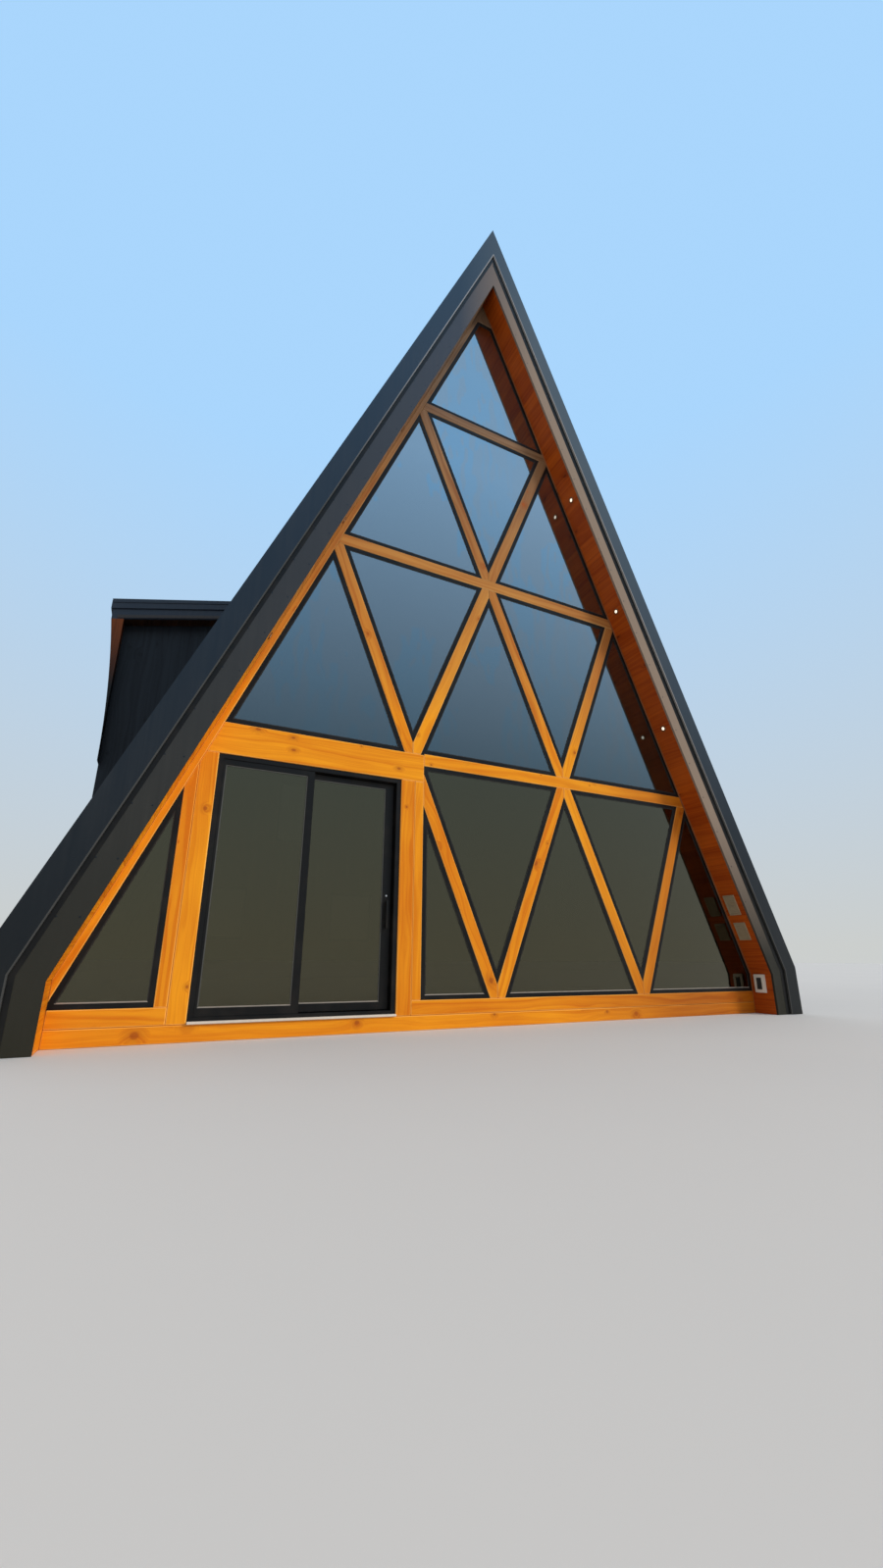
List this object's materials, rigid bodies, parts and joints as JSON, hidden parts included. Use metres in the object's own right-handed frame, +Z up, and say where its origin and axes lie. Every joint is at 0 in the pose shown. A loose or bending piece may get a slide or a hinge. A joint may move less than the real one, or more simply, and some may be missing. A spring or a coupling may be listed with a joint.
{
  "type": "a-frame cabin",
  "caption": "Steep timber A-frame cabin with a metal-clad roof down to the ground, a triangulated glass front, a glazed sliding door and a shed-roofed side bay.",
  "frame": {"origin": "middle of the plan at ground level, under the ridge", "axes": "+X to the right along the glazed front seen from outside, +Y from the front into the building, +Z up"},
  "size_m": [7.572, 10, 9.92],
  "materials": {
    "cabin_wood": "honey-stained knotty pine, satin",
    "soffit_wood": "red-orange stained pine boards, satin",
    "dark_board": "charcoal-stained upright boards, matt",
    "dark_metal": "charcoal coated steel sheet, satin",
    "rake_metal": "grey coated steel trim, satin",
    "black_frame": "black coated window frame, satin",
    "tinted_glass": "grey tinted double glazing",
    "panel_core": "insulated roof panel, unfinished",
    "floor_boards": "oiled floor boards on a framed platform",
    "white_plastic": "moulded cover, matt",
    "grey_plastic": "moulded vent plate, matt",
    "sill_metal": "mill-finish sill"
  },
  "bodies": {
    "cabin": {"apex_block": "cabin_wood", "bay_cheeks": "dark_board", "bay_fascia": "dark_metal", "bay_roof": "soffit_wood", "bay_roofing": "dark_metal", "bay_wall": "dark_board", "bay_window_frame": "black_frame", "bay_window_glass": "tinted_glass", "bay_wings": "soffit_wood", "ceiling": "soffit_wood", "door_fixed_glass": "tinted_glass", "door_fixed_leaf": "black_frame", "door_frame": "black_frame", "door_header": "cabin_wood", "door_post_left": "cabin_wood", "door_post_right": "cabin_wood", "door_sill": "sill_metal", "floor": "floor_boards", "gable_board": "cabin_wood", "knee_walls": "panel_core", "lattice_diagonals": "cabin_wood", "lattice_rails": "cabin_wood", "outlet_box": "white_plastic", "rake_boards": "rake_metal", "rake_trims": "dark_metal", "rear_wall": "cabin_wood", "rear_window_frames": "black_frame", "rear_window_glass": "tinted_glass", "ridge_cap": "dark_metal", "roof_panel_left": "panel_core", "roof_panel_right": "panel_core", "roofing_left": "dark_metal", "roofing_right": "dark_metal", "skirting": "cabin_wood", "soffit_lights": "white_plastic", "soffit_vents": "grey_plastic", "soffits": "soffit_wood", "window_frames_lower": "black_frame", "window_frames_upper": "black_frame", "window_glass_lower": "tinted_glass", "window_glass_upper": "tinted_glass"},
    "sliding_door": {"door_sliding_leaf": "black_frame", "door_sliding_glass": "tinted_glass", "door_handle": "black_frame"}
  },
  "joints": [
    {"name": "door_slide", "type": "slide", "parent": "cabin", "child": "sliding_door", "axis": [-1, 0, 0], "range_m": [0, 0.62]}
  ]
}
